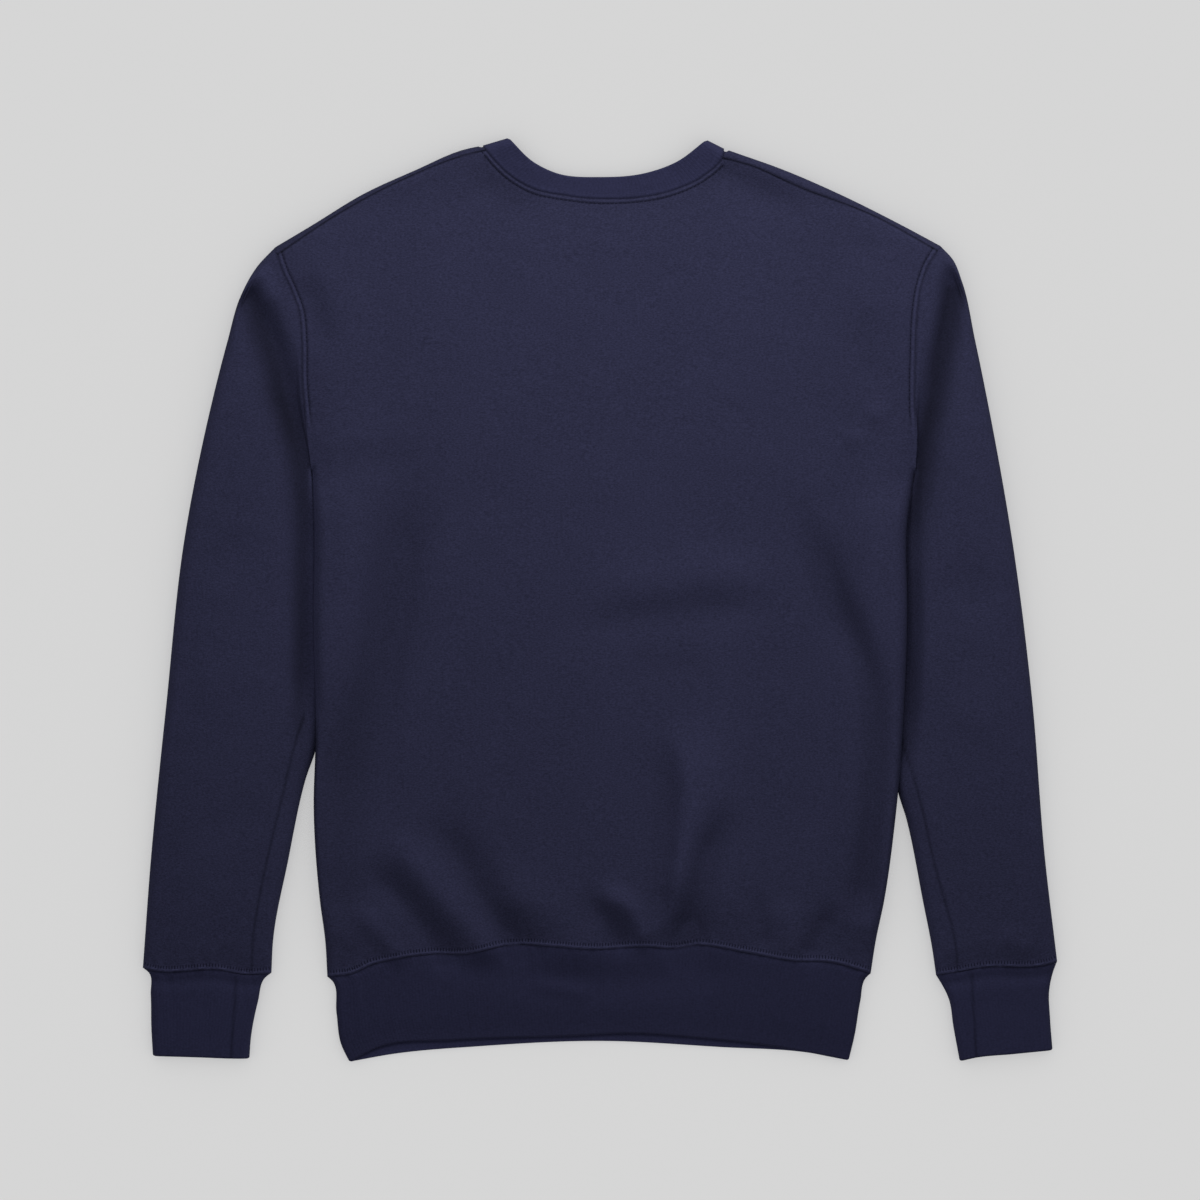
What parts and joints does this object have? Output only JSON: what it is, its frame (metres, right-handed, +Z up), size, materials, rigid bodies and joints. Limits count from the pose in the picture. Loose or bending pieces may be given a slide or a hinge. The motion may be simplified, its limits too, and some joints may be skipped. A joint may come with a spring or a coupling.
{
  "type": "crewneck sweatshirt",
  "caption": "Long-sleeved brushed-fleece sweatshirt with ribbed crew collar, cuffs and waistband, laid out flat on a surface with its back up.",
  "frame": {"origin": "bottom centre of the whole garment's box, on the surface it lies on", "axes": "+Z up out of the back panel, the thin way of the garment; +Y from the waistband to the collar, the long way; +X to the wearer's right"},
  "size_m": [0.7042, 0.7116, 0.0219],
  "materials": {
    "fleece": "matte navy brushed-back jersey, fine knit face",
    "rib": "matte navy fine rib"
  },
  "bodies": {
    "root": {"back": "fleece", "front": "fleece", "left_sleeve": "fleece", "right_sleeve": "fleece", "collar": "rib", "left_cuff": "rib", "right_cuff": "rib", "waistband": "rib"}
  },
  "joints": []
}
